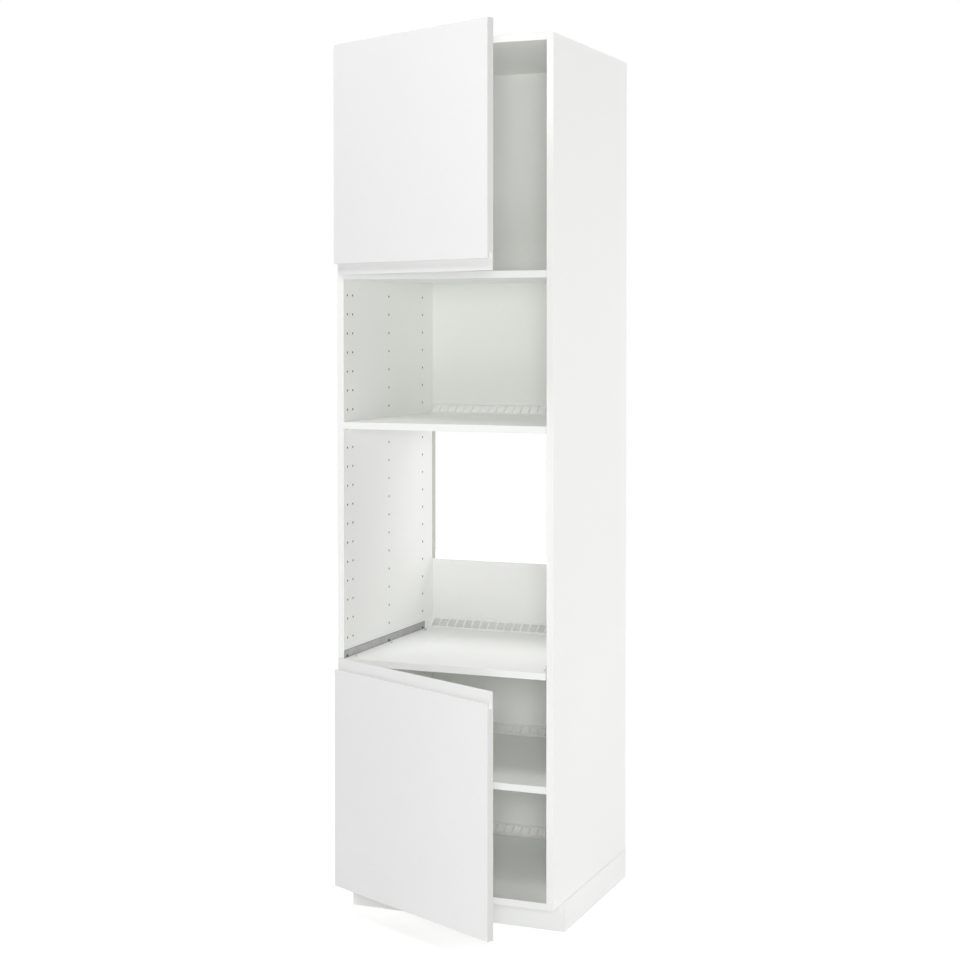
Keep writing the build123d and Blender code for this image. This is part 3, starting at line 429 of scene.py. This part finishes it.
def plated(name, tones, rough):
    """Plated steel: soft clouds, drawn lines and bright edges."""
    s = Surface(name)
    normal, edge = s.soft_edges(PLATED_EDGE)
    colour = s.mix(s.spread(s.noise(180.0, detail=4.0, roughness=0.6)), *tones)
    colour = s.mix(s.share(edge, 0.5), colour, BRIGHT_STEEL)
    drawn = s.noise(1.0, detail=2.0, roughness=0.6, stretch=(500.0, 500.0, 3200.0))
    lines = s.bump(drawn, depth=0.00002, strength=0.35, normal=normal)
    return s.finish(Base_Color=colour, Metallic=1.0, Roughness=s.spread(drawn, *rough), Normal=lines)


def beech(name):
    """Beech: long grain and short dark flecks."""
    s = Surface(name)
    grain = s.noise(1.0, detail=4.0, roughness=0.6, stretch=(25.0, 700.0, 700.0))
    fleck = s.span(s.noise(1.0, detail=2.0, roughness=0.5, stretch=(260.0, 1800.0, 1800.0)), 0.62, 0.72)
    colour = s.mix(s.share(fleck, 0.5), s.mix(s.spread(grain), *BEECH), BEECH_FLECK)
    rough = s.spread(grain, 0.5, 0.65)
    return s.finish(Base_Color=colour, Roughness=rough, Normal=s.bump(grain, depth=0.0001, strength=0.5))


def soft_dot(name):
    """Clear soft plastic: hazy, with faint flow lines."""
    s = Surface(name)
    flow = s.noise(700.0, detail=3.0)
    colour = s.mix(s.spread(flow), *CLEAR_PLASTIC)
    rough = s.spread(s.noise(300.0), 0.18, 0.32)
    return s.finish(Base_Color=colour, Roughness=rough, Transmission_Weight=0.6, IOR=1.49,
                    Normal=s.bump(flow, depth=0.0001, strength=0.4))


# Surfaces that several nodes have in common
SHARED = {
    "vent_plastic": moulded("vent_plastic", VENT_WHITE, (0.38, 0.5), grain=900.0, subsurface=0.12),
    "nickel_steel": plated("nickel_steel", NICKEL, (0.20, 0.32)),
    "zinc_hardware": plated("zinc_hardware", ZINC, (0.28, 0.42)),
    "bracket_steel": galvanised("bracket_steel", BRACKET_ZINC, flake=420.0),
    "peg_steel": plated("peg_steel", PEG_NICKEL, (0.22, 0.36)),
    "leg_plastic": moulded("leg_plastic", LEG_BLACK, (0.42, 0.56), grain=700.0, dust=0.3),
    "clear_soft_plastic": soft_dot("clear_soft_plastic"),
    "dowel_wood": beech("dowel_wood"),
}


def surface_for(node, slot):
    """The finish of one CAD node."""
    # Painted shade: the rail screws are darkened all over, for the shade in their drive recesses
    if node == "rail_screws":
        return plated(node, SCREW_PAINTED_SHADE, (0.34, 0.5))
    if slot in SHARED:
        return SHARED[slot]
    low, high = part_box(node)
    if slot == "galvanised_steel":
        # Rims at the shelf's top, painted shade where the rail meets it, and darker lines at the rail's
        # top edge and ends
        levels = (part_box("oven_shelf")[1].z, high.z)
        return galvanised(node, RAIL_ZINC, flake=230.0, rim_z=levels, rim_y=(low.y, high.y))
    if slot == "door_front":
        return door_surface(node, DOOR_FOIL)
    if slot == "back_board":
        return back_surface(node, BACK_FOIL)
    if slot == "plinth_board":
        return board(node, PLINTH_FOIL, drilled=False)
    return board(node, FOIL, low.y + BAND_THICKNESS, bare_y=BACK_FACE_Y if "side" in node else None)


for part in frame["record"]["subparts"]:
    mesh = frame["nodes"][part["node"]].data
    mesh.materials.clear()
    mesh.materials.append(surface_for(part["node"], part["material_slot"]))


def floor():
    """Wide pale floor that keeps the object's shadow."""
    half = FLOOR_SIZE / 2
    corners = [(-half, -half, 0), (half, -half, 0), (half, half, 0), (-half, half, 0)]
    mesh = bpy.data.meshes.new("floor")
    mesh.from_pydata(corners, [], [(0, 1, 2, 3)])
    made = bpy.data.objects.new("floor", mesh)
    bpy.context.scene.collection.objects.link(made)
    s = Surface("floor")
    plain = s.node("ShaderNodeBsdfDiffuse", None, {"Color": grey(0.94)})
    away = s.node("ShaderNodeVectorMath", {"operation": "LENGTH"}, {0: s.place}).outputs["Value"]
    level = s.span(away, FLOOR_GLOW_START, FLOOR_GLOW_END, FLOOR_GLOW_NEAR, FLOOR_GLOW_FAR)
    glow = s.node("ShaderNodeEmission", None, {
        "Color": grey(1.0), "Strength": s.calc("MULTIPLY", s.seen(), level)})
    both = s.node("ShaderNodeAddShader", None, {0: plain.outputs[0], 1: glow.outputs[0]})
    s.node("ShaderNodeOutputMaterial", None, {"Surface": both.outputs[0]})
    mesh.materials.append(s.material)


def world():
    """Even white surroundings, at full white where they are seen."""
    made = bpy.data.worlds.new("studio")
    t = Tree(made)
    lit = t.node("ShaderNodeBackground", None, {"Color": grey(1.0), "Strength": WORLD_LIGHT})
    white = t.node("ShaderNodeBackground", None, {"Color": grey(1.0), "Strength": SEEN_WHITE})
    mixed = t.node("ShaderNodeMixShader", None, {0: t.seen(), 1: lit.outputs[0], 2: white.outputs[0]})
    t.node("ShaderNodeOutputWorld", None, {"Surface": mixed.outputs[0]})
    bpy.context.scene.world = made


def lamp(name, place, target, size, power):
    """Soft square lamp aimed at a point."""
    data = bpy.data.lights.new(name, "AREA")
    data.shape = "SQUARE"
    data.size = size
    data.energy = power
    made = bpy.data.objects.new(name, data)
    made.location = place
    run = [t - p for t, p in zip(target, place)]
    yaw = math.atan2(run[0], -run[1])
    tilt = math.atan2(math.hypot(run[0], run[1]), -run[2])
    made.rotation_euler = (tilt, 0.0, yaw + math.pi)
    bpy.context.scene.collection.objects.link(made)


def camera():
    """Camera at the photograph's viewpoint."""
    data = bpy.data.cameras.new("camera")
    data.sensor_fit = "HORIZONTAL"
    data.sensor_width = CAMERA_SENSOR
    data.lens = CAMERA_LENS
    data.shift_y = CAMERA_SHIFT_Y
    made = bpy.data.objects.new("camera", data)
    made.location = CAMERA_PLACE
    made.rotation_euler = (math.pi / 2 - CAMERA_PITCH, 0.0, CAMERA_YAW)
    bpy.context.scene.collection.objects.link(made)
    bpy.context.scene.camera = made


floor()
world()
lamp("front", place=(1.95, -4.75, 1.75), target=(0.0, 0.0, 1.2), size=0.7, power=FRONT_LAMP)
lamp("low", place=(1.7, -4.0, 0.5), target=(0.0, 0.0, 1.4), size=0.8, power=LOW_LAMP)
lamp("high", place=(-0.8, -2.4, 4.6), target=(0.0, -0.2, 0.9), size=1.2, power=HIGH_LAMP)
lamp("far", place=(0.9, -3.6, 5.8), target=(0.0, -0.2, 1.1), size=2.4, power=FAR_LAMP)
lamp("side", place=(3.5, 2.0, 1.8), target=(0.3, 0.0, 1.2), size=2.0, power=SIDE_LAMP)
lamp("rear", place=(0.0, 3.2, 4.0), target=(0.0, 0.0, 0.9), size=2.0, power=REAR_LAMP)
camera()
bpy.context.scene.view_settings.view_transform = "Standard"
bpy.context.scene.cycles.max_bounces = BOUNCES
bpy.context.scene.cycles.diffuse_bounces = BOUNCES
